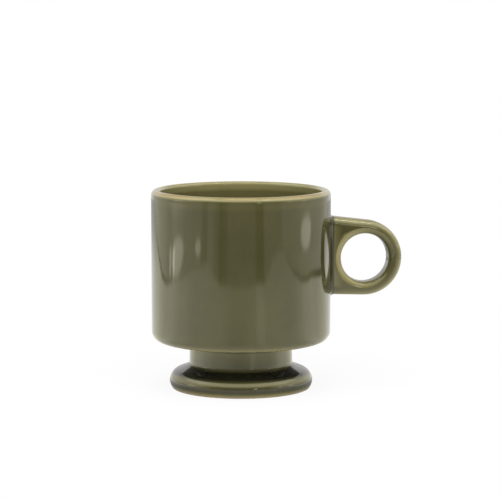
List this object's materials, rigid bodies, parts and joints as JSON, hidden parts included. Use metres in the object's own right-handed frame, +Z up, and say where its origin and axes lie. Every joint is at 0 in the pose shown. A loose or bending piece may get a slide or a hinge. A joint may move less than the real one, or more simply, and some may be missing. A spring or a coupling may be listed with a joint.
{
  "type": "pedestal mug",
  "caption": "Footed stacking mug: a straight glazed cup on a short hollow pedestal, with a flat ring handle that has a round finger hole.",
  "frame": {"origin": "on the axis of the cup, in the plane of the ring that the foot stands on", "axes": "+Z up along the axis of the cup, +X towards the tip of the handle, +Y across the handle's flat faces"},
  "size_m": [0.12, 0.0852, 0.095],
  "materials": {
    "olive_glaze": "glossy translucent olive green glaze over pale stoneware, thinner and tan on its raised edges, with a bare buff ring under the foot"
  },
  "bodies": {
    "root": {"mug": "olive_glaze"}
  },
  "joints": []
}
